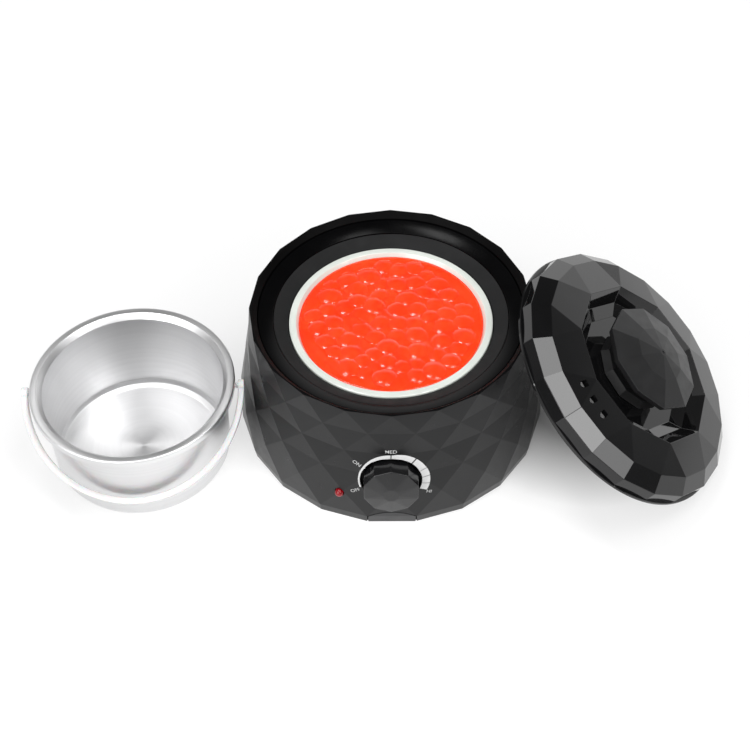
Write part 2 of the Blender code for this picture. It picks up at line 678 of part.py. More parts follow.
def make_lid():
    rings = [
        (0.0360, KNOB_SEAT, 10, lid_phase(27)),
        (0.0430, -0.0030, 10, lid_phase(27)),
        (0.0495, 0.0046, 10, lid_phase(27)),
        (0.0682, 0.0, 20, lid_phase(0)),
        (0.0766, -0.0070, 20, lid_phase(0)),
        (0.0772, LID_BOTTOM, 20, lid_phase(0)),
    ]
    shell = faceted("lid_shell", rings, BLACK_GLOSS, LID)
    join(shell, tube("lid_lip", 0.0745, LID_LIP_R, LID_BOTTOM, LID_BOTTOM + 0.0016, None, LID, 60, CUTTERS))
    below = LID_BOTTOM - 0.0100
    cavity = [
        (0.0, below), (0.0, KNOB_SEAT - 0.0030), (0.0425, KNOB_SEAT - 0.0030), (0.0510, 0.0012),
        (0.0645, -0.0026), (0.0738, -0.0092), (0.0741, below),
    ]
    cut(shell, turned("lid_cavity", cavity, None, LID, ROUND, CUTTERS))
    rib_low = LID_BOTTOM - LID_RIB_DEPTH
    join(shell, tube("lid_rib", LID_RIB_R - 0.0018, LID_RIB_R, rib_low, -0.0062, None, LID, ROUND, CUTTERS))
    cut(shell, rod("lid_screw_hole", 0.0018, -0.0140, 0.0, None, LID, 12, CUTTERS))
    for k in range(3):
        angle = math.radians(135.8 + 9.5 * k)
        turn = Matrix.Rotation(angle, 4, "Z") @ Matrix.Translation((0.0582, 0.0, 0.0))
        frame = empty(f"vent_frame_{k + 1}", LID.matrix_world @ turn)
        drop = [
            (-0.0022, -0.0019), (0.0010, -0.0019), (0.0024, -0.0010), (0.0028, 0.0), (0.0024, 0.0010),
            (0.0010, 0.0019), (-0.0022, 0.0019),
        ]
        cut(shell, prism(f"vent_hole_{k + 1}", drop, -0.0150, 0.0150, None, frame, CUTTERS))

    seat = KNOB_SEAT + GAP
    knob_rings = [
        (0.0022, 0.0184, 10, lid_phase(18)),
        (0.0167, 0.0160, 10, lid_phase(18)),
        (0.0326, 0.0112, 10, lid_phase(18)),
        (0.0318, 0.0080, 10, lid_phase(18)),
        (0.0245, 0.0030, 10, lid_phase(18)),
        (0.0215, -0.0020, 10, lid_phase(18)),
        (0.0240, seat, 10, lid_phase(18)),
    ]
    knob = faceted("lid_knob", knob_rings, BLACK_SATIN, LID)
    cut(knob, rod("lid_knob_bore", 0.0017, -0.0100, 0.0050, None, LID, 12, CUTTERS))
    head = KNOB_SEAT - 0.0030 - GAP
    screw = [
        (0.0, head - 0.0016), (0.0, 0.0040), (0.0014, 0.0040), (0.0014, head), (0.0032, head),
        (0.0028, head - 0.0016),
    ]
    smooth(turned("lid_knob_screw", screw, STEEL, LID, 12))


# ---------------------------------------------------------------- wiring
def make_wiring():
    box("terminal_block", (-0.0300, 0.0650, COVER_TOP + GAP), (-0.0100, 0.0760, 0.0150), NYLON)
    supply = (
        (0.0, 0.0788, 0.0180), (-0.001, 0.0755, 0.0165), (-0.004, 0.0720, 0.0125),
        (-0.0072, 0.0707, 0.0101), (-0.0096, 0.0705, 0.0100),
    )
    wire("lead_supply", [Vector(p) for p in supply], 0.0013)
    around = [Vector((-0.0318, 0.0705, 0.0100))]
    climb = ((145, 0.001), (120, 0.006), (95, 0.012), (70, 0.019), (48, 0.025))
    around += [polar(0.0745, math.radians(-a), 0.0100 + z) for a, z in climb]
    around += [Vector((-0.0300, -0.0720, 0.0390)), Vector((-0.0130, -0.0745, 0.0400))]
    wire("lead_thermostat", around, 0.0010)
    right = [Vector((0.0130, -0.0745, 0.0400)), Vector((0.0300, -0.0715, 0.0400))]
    right += [polar(0.0730, math.radians(a), 0.0400) for a in (50, 75, 100, 125, 150)]
    right += [Vector((0.0200, 0.0690, 0.0402)), Vector((0.0110, 0.0650, 0.0402))]
    wire("lead_heater", right, 0.0010)


make_housing()
make_cover()
make_base_fittings()
make_chamber()
make_dial()
make_seated_pot()
make_spare_pot()
make_bail()
make_lid()
make_wiring()
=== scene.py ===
"""Finished look of the wax warmer pot: fine moulded shapes, procedural materials, printed dial,
wax beads, floor, light and camera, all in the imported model's own frame."""

import math
import random

import bmesh
import bpy
from mathutils import Matrix, Vector
from mathutils.bvhtree import BVHTree


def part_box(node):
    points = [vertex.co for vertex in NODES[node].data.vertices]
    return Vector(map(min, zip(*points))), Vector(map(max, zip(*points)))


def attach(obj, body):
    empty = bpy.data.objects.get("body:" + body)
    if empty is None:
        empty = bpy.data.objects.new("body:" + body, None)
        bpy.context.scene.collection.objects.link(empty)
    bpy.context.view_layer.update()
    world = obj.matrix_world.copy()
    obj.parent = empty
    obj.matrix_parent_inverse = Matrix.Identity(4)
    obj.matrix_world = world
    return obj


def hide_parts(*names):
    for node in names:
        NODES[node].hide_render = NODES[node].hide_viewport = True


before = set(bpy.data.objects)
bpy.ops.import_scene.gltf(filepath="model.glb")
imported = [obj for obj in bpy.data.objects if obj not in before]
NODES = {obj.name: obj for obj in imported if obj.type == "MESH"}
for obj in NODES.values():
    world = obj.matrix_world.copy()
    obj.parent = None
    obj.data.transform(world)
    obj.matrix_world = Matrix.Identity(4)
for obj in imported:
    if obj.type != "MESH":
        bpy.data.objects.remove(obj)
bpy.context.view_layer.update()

# ---------------------------------------------------------------- dimensions, in metres
SIDES = 20
STEP = 2 * math.pi / SIDES
# Radius and height of each row of the housing's corners, from the rim down to the floor.
LATTICE = (
    (0.0800, 0.0873),
    (0.0818, 0.0735),
    (0.0838, 0.0586),
    (0.0865, 0.0440),
    (0.0888, 0.0284),
    (0.0895, 0.0093),
    (0.0884, 0.0030),
)
SEAT_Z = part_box("wax_pot")[0].z
SPARE_LOW, SPARE_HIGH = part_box("spare_pot")
SPARE_AT = Vector(((SPARE_LOW.x + SPARE_HIGH.x) / 2, (SPARE_LOW.y + SPARE_HIGH.y) / 2, 0.0))
POT_H = SPARE_HIGH.z - SPARE_LOW.z
POT_R = (SPARE_HIGH.x - SPARE_LOW.x) / 2
PIVOT_Z = 0.0524
BAIL_AT = SPARE_AT + Vector((0.0, 0.0, PIVOT_Z))
BAIL_TURN = math.radians(2.4)
BAIL_REACH = 1.04
BAIL_R = 0.0612
BAIL_HANG = math.radians(30.0)
DIAL_AT = Vector((-0.0004, -0.0860, 0.0390))
DIAL_LEAN = math.radians(7.0)
LAMP_ANGLE = math.radians(-19.2)
LAMP_Z = 0.0262
GLAND_Z = 0.0180
LID_TILT = math.radians(39.1)
LID_HEADING = math.radians(-9.5)
LID_PHASE = math.radians(1.0)
LID_LIP_R = 0.0780
LID_BOTTOM = -0.0153
LID_AT = Vector(
    (0.1401, -0.0227, LID_LIP_R * math.sin(LID_TILT) - LID_BOTTOM * math.cos(LID_TILT))
)
KNOB_SEAT = -0.0070


# ---------------------------------------------------------------- frames
def lid_matrix():
    out = Vector(
        (
            math.sin(LID_TILT) * math.cos(LID_HEADING),
            math.sin(LID_TILT) * math.sin(LID_HEADING),
            math.cos(LID_TILT),
        )
    )
    level = Vector((0.0, 0.0, 1.0)).cross(out).normalized()
    uphill = out.cross(level)
    turn = Matrix((level, uphill, out)).transposed().to_4x4()
    return Matrix.Translation(LID_AT) @ turn


def radial_matrix(angle, height):
    spin = Matrix.Rotation(angle, 4, "Z") @ Matrix.Rotation(math.pi / 2, 4, "X")
    return Matrix.Translation((0.0, 0.0, height)) @ spin


WORLD = Matrix.Identity(4)
LID = lid_matrix()
DIAL = Matrix.Translation(DIAL_AT) @ Matrix.Rotation(math.pi / 2 - DIAL_LEAN, 4, "X")
LAMP = radial_matrix(LAMP_ANGLE, LAMP_Z)
REAR = radial_matrix(math.pi, GLAND_Z)
SEAT = Matrix.Translation((0.0, 0.0, SEAT_Z))
SPARE = Matrix.Translation(SPARE_AT)
BAIL_AXIS = Matrix.Translation(BAIL_AT) @ Matrix.Rotation(BAIL_TURN, 4, "Z")


# ---------------------------------------------------------------- materials
class Nodes:
    """A node tree under construction: short calls that add and join nodes."""

    def __init__(self, tree):
        self.tree = tree

    def add(self, kind, **settings):
        node = self.tree.nodes.new(kind)
        for key, value in settings.items():
            setattr(node, key, value)
        return node

    def join(self, source, target):
        self.tree.links.new(source, target)

    def spread(self, source, low, high, start=0.3, end=0.7, kind="LINEAR"):
        """Turns a value that runs from start to end into one that runs from low to high."""
        node = self.add("ShaderNodeMapRange", interpolation_type=kind)
        values = {"From Min": start, "From Max": end, "To Min": low, "To Max": high}
        for key, value in values.items():
            node.inputs[key].default_value = value
        self.join(source, node.inputs["Value"])
        return node.outputs["Result"]

    def maths(self, operation, a, b=0.0):
        node = self.add("ShaderNodeMath", operation=operation)
        for socket, value in zip(node.inputs, (a, b)):
            if isinstance(value, (int, float)):
                socket.default_value = value
            else:
                self.join(value, socket)
        return node.outputs["Value"]

    def mean(self, a, b):
        return self.maths("ADD", self.maths("MULTIPLY", a, 0.5), self.maths("MULTIPLY", b, 0.5))

    def split(self, source):
        node = self.add("ShaderNodeSeparateXYZ")
        self.join(source, node.inputs["Vector"])
        return node.outputs


class Shader(Nodes):
    """A material under construction, drawn in the object's own coordinates."""

    def __init__(self, name):
        self.material = bpy.data.materials.new(name)
        self.material.use_nodes = True
        super().__init__(self.material.node_tree)
        self.main = self.tree.nodes["Principled BSDF"]
        self.coords = self.add("ShaderNodeTexCoord").outputs["Object"]

    def set(self, **values):
        for key, value in values.items():
            self.main.inputs[key.replace("_", " ")].default_value = value

    def noise(self, scale, detail=3.0, coords=None):
        node = self.add("ShaderNodeTexNoise")
        node.inputs["Scale"].default_value = scale
        node.inputs["Detail"].default_value = detail
        self.join(coords or self.coords, node.inputs["Vector"])
        return node.outputs["Fac"]

    def distance(self, point):
        node = self.add("ShaderNodeVectorMath", operation="DISTANCE")
        self.join(self.coords, node.inputs[0])
        node.inputs[1].default_value = point
        return node.outputs["Value"]

    def ramp(self, source, dark, light, start=0.3, end=0.7):
        """Blends from a dark colour at start to a light one at end."""
        node = self.add("ShaderNodeValToRGB")
        stops = ((start, dark), (end, light))
        for item, (place, colour) in zip(node.color_ramp.elements, stops):
            item.position = place
            item.color = (*colour, 1.0)
        self.join(source, node.inputs["Fac"])
        return node.outputs["Color"]

    def bump(self, *layers):
        """Each layer is (height, depth in metres)."""
        normal = None
        for height, depth in layers:
            node = self.add("ShaderNodeBump")
            node.inputs["Distance"].default_value = depth
            self.join(height, node.inputs["Height"])
            if normal is not None:
                self.join(normal, node.inputs["Normal"])
            normal = node.outputs["Normal"]
        self.join(normal, self.main.inputs["Normal"])

    def colour(self, source):
        self.join(source, self.main.inputs["Base Color"])

    def roughness(self, source):
        self.join(source, self.main.inputs["Roughness"])


def dimmed(colour, share):
    return tuple(c * share for c in colour)


def moulded(name, dark, light, rough, grain, depth, wave=0.0, specular=0.5):
    """Moulded material: a fine grain, slow sink marks as deep as wave says, and faint scuffing."""
    s = Shader(name)
    s.colour(s.ramp(s.noise(45.0), dark, light))
    s.roughness(s.spread(s.noise(160.0, 5.0), rough * 0.88, rough * 1.15))
    layers = [(s.noise(grain, 2.0), depth)]
    if wave:
        layers.insert(0, (s.noise(34.0, 1.0), wave))
    s.bump(*layers)
    s.set(Specular_IOR_Level=specular)
    return s.material


def turned_metal(name, colour, rough, ring=0.000006, streak=0.0):
    """Spun or turned metal: fine rings round the object's Z axis, streaked along them if asked."""
    s = Shader(name)
    x, y, z = s.split(s.coords)
    radius = s.maths("SQRT", s.maths("ADD", s.maths("MULTIPLY", x, x), s.maths("MULTIPLY", y, y)))
    lines = s.add("ShaderNodeCombineXYZ")
    s.join(radius, lines.inputs["X"])
    s.join(z, lines.inputs["Y"])
    fine = s.noise(2600.0, 2.0, lines.outputs["Vector"])
    broad = s.noise(420.0, 2.0, lines.outputs["Vector"])
    cloud = s.noise(28.0, 4.0)
    s.colour(s.ramp(s.mean(broad, cloud), dimmed(colour, 0.93), colour, 0.35, 0.65))
    s.roughness(s.spread(s.mean(fine, cloud), rough * 0.82, rough * 1.2, 0.35, 0.65))
    s.bump((broad, ring * 2), (fine, ring))
    s.set(Metallic=1.0, Anisotropic=streak)
    if streak:
        tangent = s.add("ShaderNodeTangent", direction_type="RADIAL", axis="Z")
        s.join(tangent.outputs["Tangent"], s.main.inputs["Tangent"])
    return s.material


def plain_metal(name, colour, rough):
    s = Shader(name)
    s.colour(s.ramp(s.noise(300.0, 4.0), dimmed(colour, 0.85), colour))
    s.roughness(s.spread(s.noise(700.0, 3.0), rough * 0.8, rough * 1.3))
    s.bump((s.noise(900.0, 2.0), 0.00001))
    s.set(Metallic=1.0)
    return s.material


def enamel_material():
    s = Shader("pale_enamel")
    s.colour(s.ramp(s.noise(60.0), (0.56, 0.59, 0.55), (0.61, 0.64, 0.60)))
    s.roughness(s.spread(s.noise(240.0), 0.16, 0.24))
    s.bump((s.noise(260.0, 2.0), 0.00002))
    s.set(Coat_Weight=0.5, Coat_Roughness=0.08)
    return s.material


def wax_material():
    """Soft depilatory wax: saturated, slightly cloudy inside, wet on top, with a faint painted glow
    for the light that scatters inside it.
    """
    s = Shader("wax_gel")
    cloud = s.noise(70.0, 3.0)
    s.colour(s.ramp(cloud, (1.0, 0.034, 0.006), (1.0, 0.050, 0.010), 0.35, 0.65))
    s.roughness(s.spread(s.noise(220.0), 0.06, 0.14))
    s.bump((s.noise(190.0, 2.0), 0.00006))
    s.set(Subsurface_Weight=0.8, Subsurface_Scale=0.006, Subsurface_Radius=(1.0, 0.25, 0.08))
    s.set(Specular_IOR_Level=0.35)
    # Painted glow: a faint red emission stands in for the light that scatters inside the wax.
    s.set(Emission_Color=(1.0, 0.045, 0.008, 1.0), Emission_Strength=0.22)
    return s.material


def bail_material():
    s = Shader("bail_translucent")
    s.colour(s.ramp(s.noise(80.0), (0.73, 0.73, 0.73), (0.78, 0.78, 0.78)))
    s.roughness(s.spread(s.noise(300.0), 0.16, 0.26))
    s.bump((s.noise(500.0), 0.00001))
    s.set(Transmission_Weight=0.15, IOR=1.45, Subsurface_Weight=0.3, Subsurface_Scale=0.003)
    return s.material


def lens_material():
    s = Shader("lens_red")
    s.colour(s.ramp(s.noise(400.0), (0.19, 0.001, 0.004), (0.27, 0.002, 0.007)))
    s.roughness(s.spread(s.noise(600.0), 0.08, 0.14))
    s.set(Transmission_Weight=0.10, IOR=1.45, Subsurface_Weight=0.2, Subsurface_Scale=0.001)
    return s.material


def print_material(name, grey):
    s = Shader(name)
    colour = (grey, grey, grey)
    s.colour(s.ramp(s.noise(900.0, 4.0), dimmed(colour, 0.9), colour))
    s.roughness(s.spread(s.noise(1200.0), 0.42, 0.6))
    s.bump((s.noise(2500.0), 0.000006))
    return s.material


def floor_material():
    """A pale table with a little glow: brightest in front, dimmed where the lid shades it."""
    s = Shader("pale_floor")
    s.colour(s.ramp(s.noise(2.0, 2.0), (0.29, 0.29, 0.29), (0.31, 0.31, 0.31)))
    s.roughness(s.spread(s.noise(40.0), 0.7, 0.8))
    table = s.spread(s.distance((0.0, 0.15, 0.0)), 0.60, 0.30, 0.50, 1.2)
    pool = s.spread(s.distance((-0.035, -0.16, 0.0)), 0.34, 0.0, 0.05, 0.17)
    shade = s.spread(s.distance((0.115, 0.004, 0.0)), 0.08, 1.0, 0.03, 0.080)
    glow = s.maths("MULTIPLY", s.maths("ADD", table, pool), shade)
    s.join(glow, s.main.inputs["Emission Strength"])
    s.set(Specular_IOR_Level=0.1, Emission_Color=(1.0, 1.0, 1.0, 1.0))
    return s.material


# name, dark and light colour, roughness, scale of the grain, its depth, depth of the sink marks
SATIN = moulded(
    "satin_black", (0.0035, 0.0035, 0.0038), (0.005, 0.005, 0.0054), 0.31, 1500.0, 0.000012,
    0.00002, specular=0.30,
)
GLOSS = moulded(
    "gloss_black", (0.003, 0.003, 0.0032), (0.0045, 0.0045, 0.0048), 0.035, 900.0, 0.0000008,
    0.00004,
)
# Painted shade: a darker, duller copy of the housing's black, for the dial's pocket and the land
# inside the rim.
SHADE = moulded(
    "painted_shade_black", (0.0008, 0.0008, 0.0009), (0.0014, 0.0014, 0.0015), 0.50, 1500.0, 0.00001,
    specular=0.05,
)
RECESS = moulded(
    "recess_black", (0.0010, 0.0010, 0.0011), (0.0016, 0.0016, 0.0018), 0.18, 1400.0, 0.000006,
    specular=0.05,
)
DECK = moulded(
    "deck_grey", (0.010, 0.0102, 0.0105), (0.013, 0.0132, 0.0135), 0.58, 1700.0, 0.00003,
    specular=0.10,
)
COVER = moulded(
    "cover_black", (0.008, 0.008, 0.009), (0.012, 0.012, 0.013), 0.36, 1300.0, 0.00002
)
KNOB = moulded(
    "knob_black", (0.004, 0.004, 0.0045), (0.006, 0.006, 0.0065), 0.16, 1500.0, 0.000008, 0.00001
)
GRIP = moulded(
    "grip_satin", (0.008, 0.008, 0.0083), (0.011, 0.011, 0.0114), 0.38, 1500.0, 0.00001, 0.00001,
    specular=0.30,
)
RUBBER = moulded(
    "foot_rubber", (0.018, 0.018, 0.018), (0.028, 0.028, 0.028), 0.78, 1100.0, 0.00006
)
NYLON = moulded("heatproof_nylon", (0.60, 0.58, 0.52), (0.70, 0.68, 0.62), 0.45, 1300.0, 0.00003)
SILICONE = moulded("silicone_seal", (0.38, 0.07, 0.05), (0.46, 0.10, 0.07), 0.55, 1100.0, 0.00003)
MICA = moulded("mica_band", (0.30, 0.24, 0.16), (0.42, 0.35, 0.25), 0.55, 700.0, 0.00008)
SLEEVE = moulded("glass_sleeve", (0.55, 0.52, 0.44), (0.66, 0.63, 0.55), 0.70, 2400.0, 0.00012)
WELL = turned_metal("well_aluminium", (0.72, 0.73, 0.74), 0.34, 0.00001)
SPUN = turned_metal("spun_aluminium", (0.735, 0.735, 0.74), 0.35, 0.0000004, 0.6)
SHEET = turned_metal("pressed_sheet", (0.60, 0.60, 0.60), 0.38)
STEEL = plain_metal("zinc_steel", (0.62, 0.62, 0.63), 0.28)
BRASS = plain_metal("brass", (0.78, 0.60, 0.30), 0.30)
ENAMEL = enamel_material()
WAX = wax_material()
BAIL = bail_material()
LENS = lens_material()
WHITE_INK = print_material("white_ink", 0.58)
GREY_INK = print_material("grey_ink", 0.44)
BLACK_INK = print_material("black_ink", 0.02)


# ---------------------------------------------------------------- shape helpers
def finish_piece(obj, body, material, replaced=(), angle=30.0):
    """Gives a piece its material, crisp edges, its body and the nodes that it stands for."""
    if not obj.data.materials:
        obj.data.materials.append(material)
    if angle:
        obj.data.set_sharp_from_angle(angle=math.radians(angle))
    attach(obj, body)
    if replaced:
        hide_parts(*replaced)


def crisp(obj):
    """Shades each facet flat and leaves the roundness to the softened edges."""
    made = obj.modifiers.new("crisp", "WEIGHTED_NORMAL")
    made.mode = "FACE_AREA"
    made.weight = 100
    made.keep_sharp = True
    return obj


def stored(name, mesh):
    """Turns a bmesh into mesh data and frees it."""
    data = bpy.data.meshes.new(name)
    mesh.to_mesh(data)
    mesh.free()
    return data


def smoothed(mesh):
    bmesh.ops.recalc_face_normals(mesh, faces=mesh.faces)
    for face in mesh.faces:
        face.smooth = True
    return mesh


def placed(mesh, matrix):
    mesh.transform(matrix)
    return mesh


def in_scene(name, data):
    obj = bpy.data.objects.new(name, data)
    bpy.context.scene.collection.objects.link(obj)
    return obj


def link(name, mesh, matrix=WORLD):
    """An object at the frame's origin, with its place in its vertices."""
    return in_scene(name, placed(mesh, matrix))


def rounded(profile, radius, pieces=3):
    """The outline with each corner (r, z, share of the radius) turned into an arc."""
    most = 0.45  # share of a straight stretch that one arc may take
    result = []
    count = len(profile)
    for i, corner in enumerate(profile):
        share = corner[2] if len(corner) > 2 else 1.0
        here = Vector(corner[:2])
        before = Vector(profile[i - 1][:2])
        after = Vector(profile[(i + 1) % count][:2])
        if here.x == 0.0:
            result.append(tuple(here))
            continue
        back = (before - here).normalized()
        ahead = (after - here).normalized()
        reach = min(
            radius * share / math.tan(back.angle(ahead) / 2),
            (before - here).length * most,
            (after - here).length * most,
        )
        start = here + back * reach
        end = here + ahead * reach
        for k in range(pieces + 1):
            t = k / pieces
            point = start * (1 - t) ** 2 + here * 2 * t * (1 - t) + end * t**2
            result.append(tuple(point))
    return result


def turned_mesh(name, profile, steps=128, radius=0.0, pieces=3):
    """A closed outline of (radius, height) turned about Z. A stretch on the axis closes itself."""
    points = rounded(profile, radius, pieces) if radius else [p[:2] for p in profile]
    mesh = bmesh.new()
    rows = []
    for r, z in points:
        if r == 0.0:
            rows.append([mesh.verts.new((0.0, 0.0, z))] * steps)
            continue
        turns = (2 * math.pi * k / steps for k in range(steps))
        rows.append([mesh.verts.new((r * math.cos(a), r * math.sin(a), z)) for a in turns])
    count = len(rows)
    for i in range(count):
        upper = rows[i]
        lower = rows[(i + 1) % count]
        if upper[0] is upper[1] and lower[0] is lower[1]:
            continue
        for k in range(steps):
            m = (k + 1) % steps
            ring = []
            for vertex in (upper[k], upper[m], lower[m], lower[k]):
                if vertex not in ring:
                    ring.append(vertex)
            mesh.faces.new(ring)
    return stored(name, smoothed(mesh))


def ring_points(radius, height, count, phase):
    turn = 2 * math.pi / count
    return [
        Vector((radius * math.sin(phase + i * turn), -radius * math.cos(phase + i * turn), height))
        for i in range(count)
    ]


def bridge(mesh, upper, lower):
    """Joins two rings of (angle, vertex), which may have different numbers of corners."""
    same = 1e-6  # radians
    i = 0
    j = 0
    while i < len(upper) or j < len(lower):
        turn_up, to_up = upper[(i + 1) % len(upper)]
        turn_low, to_low = lower[(j + 1) % len(lower)]
        turn_up += 2 * math.pi * ((i + 1) // len(upper))
        turn_low += 2 * math.pi * ((j + 1) // len(lower))
        a = upper[i % len(upper)][1]
        b = lower[j % len(lower)][1]
        if j >= len(lower) or (i < len(upper) and turn_up < turn_low - same):
            mesh.faces.new((a, b, to_up))
            i += 1
        elif i >= len(upper) or turn_low < turn_up - same:
            mesh.faces.new((a, b, to_low))
            j += 1
        else:
            mesh.faces.new((a, b, to_low, to_up))
            i += 1
            j += 1


def faceted_mesh(name, rings, bevel=0.0, pieces=2):
    """A solid through rings of (radius, height, sides, phase), with its edges softened."""
    mesh = bmesh.new()
    levels = []
    for radius, height, count, phase in rings:
        turn = 2 * math.pi / count
        points = ring_points(radius, height, count, phase)
        levels.append([(phase + k * turn, mesh.verts.new(p)) for k, p in enumerate(points)])
    for upper, lower in zip(levels, levels[1:]):
        bridge(mesh, upper, lower)
    mesh.faces.new([vertex for _, vertex in levels[0]])
    mesh.faces.new([vertex for _, vertex in reversed(levels[-1])])
    bmesh.ops.recalc_face_normals(mesh, faces=mesh.faces)
    if bevel:
        edges = [e for e in mesh.edges if e.calc_face_angle(0.0) > math.radians(1.0)]
        bmesh.ops.bevel(
            mesh, geom=edges, offset=bevel, offset_type="OFFSET", segments=pieces, profile=0.5,
            affect="EDGES", clamp_overlap=True,
        )
        bmesh.ops.remove_doubles(mesh, verts=mesh.verts, dist=1e-6)
    return stored(name, mesh)


def prism_mesh(name, outline, low, high, axis="Z"):
    """An outline drawn in XY and raised along Z, or drawn in XZ and pushed along Y."""
    mesh = bmesh.new()
    if axis == "Z":
        base = [mesh.verts.new((x, y, low)) for x, y in outline]
        travel = Vector((0.0, 0.0, high - low))
    else:
        base = [mesh.verts.new((x, low, z)) for x, z in outline]
        travel = Vector((0.0, high - low, 0.0))
    grown = bmesh.ops.extrude_face_region(mesh, geom=[mesh.faces.new(base)])
    moved = [item for item in grown["geom"] if isinstance(item, bmesh.types.BMVert)]
    bmesh.ops.translate(mesh, verts=moved, vec=travel)
    bmesh.ops.recalc_face_normals(mesh, faces=mesh.faces)
    return stored(name, mesh)


def combine(obj, operation, mesh):
    """Applies an exact Boolean with a mesh that is thrown away afterwards."""
    helper = in_scene("helper", mesh)
    made = obj.modifiers.new("step", "BOOLEAN")
    made.operation = operation
    made.solver = "EXACT"
    made.object = helper
    graph = bpy.context.evaluated_depsgraph_get()
    result = bpy.data.meshes.new_from_object(obj.evaluated_get(graph))
    obj.modifiers.clear()
    obj.data = result
    bpy.data.objects.remove(helper)


def rod_mesh(radius, low, high, steps=48):
    return turned_mesh("rod", [(0.0, low), (0.0, high), (radius, high), (radius, low)], steps)


# ---------------------------------------------------------------- housing
def lattice_rings():
    rings = [
        (radius, height, SIDES, STEP / 2 if row % 2 else 0.0)
        for row, (radius, height) in enumerate(LATTICE[:-1])
    ]
    return rings + [(*LATTICE[-1], SIDES, STEP / 2)]


def arch_outline(inset, foot):
    """The slot at the foot of the front, upright under a round head, made smaller by inset."""
    half = 0.0140 - inset
    radius = 0.0254 - inset
    middle = 0.0135 - 0.0254
    pieces = 24
    reach = math.asin(half / radius)
    points = []
    for k in range(pieces + 1):
        angle = -reach + 2 * reach * k / pieces
        points.append((radius * math.sin(angle), middle + radius * math.cos(angle)))
    return [(-half, foot), *points, (half, foot)]


def shade_deep_faces(shell):
    """Paints shade: gives the dial's pocket and the land inside the rim the second material, a
    darker and duller copy of the satin black.
    """
    pocket_r, pocket_reach, pocket_floor = 0.0172, 0.0200, -0.0028
    land_z = 0.0700
    upright = 0.3  # most a side wall's normal may lean towards the dial
    level = 0.8  # least a flat face's normal points up
    to_dial = DIAL.inverted()
    for face in shell.data.polygons:
        place = to_dial @ face.center
        facing = abs((to_dial.to_3x3() @ face.normal).z)
        inside = math.hypot(place.x, place.y) < pocket_r and abs(place.z) < pocket_reach
        in_pocket = inside and (facing < upright or place.z < pocket_floor)
        inward = face.normal.x * face.center.x + face.normal.y * face.center.y < 0.0
        on_land = face.center.z > land_z and (inward or face.normal.z > level)
        face.material_index = 1 if in_pocket or on_land else 0


def make_housing():
    shell = link("housing_body", faceted_mesh("housing_body", lattice_rings(), 0.00028))
    cavity = [
        (0.0, 0.0950), (0.0861, 0.0950), (0.0783, 0.0873), (0.0756, 0.0842), (0.0756, 0.0812),
        (0.0732, 0.0812), (0.0732, 0.0787), (0.0772, 0.0740), (0.0806, 0.0600), (0.0846, 0.0300),
        (0.0850, -0.0010), (0.0, -0.0010),
    ]
    combine(shell, "DIFFERENCE", turned_mesh("cavity", cavity, 160))
    boss = placed(rod_mesh(0.0196, -0.0062, -0.0031, 64), DIAL)
    combine(shell, "UNION", boss)
    pocket = [
        (0.0, 0.0200), (0.0170, 0.0200), (0.0170, -0.0026), (0.0164, -0.0032), (0.0, -0.0032),
    ]
    cuts = (
        placed(turned_mesh("pocket", pocket, 96), DIAL),
        placed(rod_mesh(0.0043, -0.0080, 0.0001), DIAL),
        placed(rod_mesh(0.0029, 0.0780, 0.0980, 40), LAMP),
        placed(rod_mesh(0.0052, 0.0780, 0.0980, 48), REAR),
        prism_mesh("arch", arch_outline(0.0, -0.001), -0.1000, -0.0800, "Y"),
    )
    for helper in cuts:
        combine(shell, "DIFFERENCE", helper)
    shell.data.materials.append(SATIN)
    shell.data.materials.append(SHADE)
    shade_deep_faces(shell)
    finish_piece(crisp(shell), "base", SATIN, ["housing_shell"], 32.0)
    return shell


def make_cover():
    disc = [(0.0, 0.0020), (0.0, 0.0045), (0.0845, 0.0045), (0.0845, 0.0024), (0.0841, 0.0020)]
    cover = link("underside_cover", turned_mesh("underside_cover", disc, 128))
    tab = link("tab", prism_mesh("tab", arch_outline(0.0006, 0.0020), -0.0920, -0.0835, "Y"))
    combine(tab, "INTERSECT", faceted_mesh("skin", lattice_rings()))
    combine(cover, "UNION", tab.data)
    # Painted shade: a strip of cover plastic across the notch, so that sight lines through the gap
    # under the wall end in dark plastic, which stands in for the shade there.
    shade_strip = [(-0.0150, 0.0020), (-0.0150, 0.0027), (0.0150, 0.0027), (0.0150, 0.0020)]
    combine(cover, "UNION", prism_mesh("shade_strip", shade_strip, -0.0857, -0.0825, "Y"))
    bpy.data.objects.remove(tab)
    screw_ring = 0.0810
    for k in range(4):
        angle = math.pi / 4 + k * math.pi / 2
        at = Vector((screw_ring * math.sin(angle), -screw_ring * math.cos(angle), 0.0))
        hole = placed(rod_mesh(0.0018, 0.0, 0.0100, 24), Matrix.Translation(at))
        combine(cover, "DIFFERENCE", hole)
    vents = 5
    pitch = 0.0100
    for k in range(vents):
        x = (k - vents // 2) * pitch
        slot = [
            (x - 0.0015, 0.0265), (x - 0.0011, 0.0255), (x, 0.0250), (x + 0.0011, 0.0255),
            (x + 0.0015, 0.0265), (x + 0.0015, 0.0405), (x + 0.0011, 0.0415), (x, 0.0420),
            (x - 0.0011, 0.0415), (x - 0.0015, 0.0405),
        ]
        combine(cover, "DIFFERENCE", prism_mesh("slot", slot, 0.0, 0.0100))
    finish_piece(cover, "base", COVER, ["bottom_cover"], 32.0)


